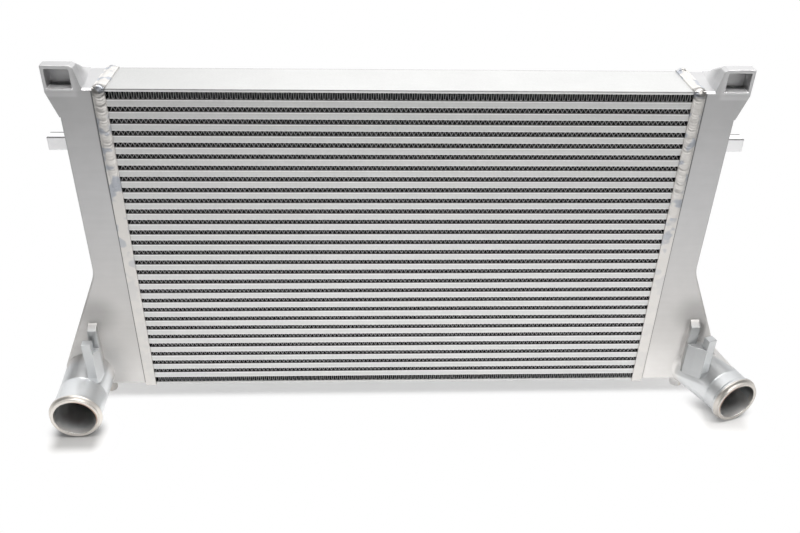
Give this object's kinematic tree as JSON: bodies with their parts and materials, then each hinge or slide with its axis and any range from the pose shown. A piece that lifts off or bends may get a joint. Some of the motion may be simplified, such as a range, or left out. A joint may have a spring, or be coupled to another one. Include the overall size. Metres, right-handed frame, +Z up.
{
  "type": "intercooler",
  "caption": "Bar-and-plate air-to-air intercooler with cast end tanks, side pins, top sockets, bottom pegs and round beaded outlets.",
  "frame": {"origin": "middle of the core's bottom face, half way through its depth", "axes": "+X along the charge tubes towards the right tank, -Y out of the face with the outlets, +Z up the stack of tubes"},
  "size_m": [0.8959, 0.1306, 0.457],
  "materials": {
    "core": "brazed aluminium, fine matt grain",
    "fins": "thin corrugated aluminium foil",
    "cast_tank": "satin blasted casting",
    "weld": "rippled weld bead"
  },
  "bodies": {
    "root": {"bottom_plate": "core", "top_plate": "core", "charge_tube_01": "core", "charge_tube_02": "core", "charge_tube_03": "core", "charge_tube_04": "core", "charge_tube_05": "core", "charge_tube_06": "core", "charge_tube_07": "core", "charge_tube_08": "core", "charge_tube_09": "core", "charge_tube_10": "core", "charge_tube_11": "core", "charge_tube_12": "core", "charge_tube_13": "core", "charge_tube_14": "core", "charge_tube_15": "core", "charge_tube_16": "core", "charge_tube_17": "core", "charge_tube_18": "core", "charge_tube_19": "core", "charge_tube_20": "core", "charge_tube_21": "core", "charge_tube_22": "core", "charge_tube_23": "core", "charge_tube_24": "core", "charge_tube_25": "core", "charge_tube_26": "core", "charge_tube_27": "core", "charge_tube_28": "core", "air_fins": "fins", "left_end_bars": "core", "right_end_bars": "core", "left_tank": "cast_tank", "right_tank": "cast_tank", "left_weld": "weld", "right_weld": "weld"}
  },
  "joints": []
}
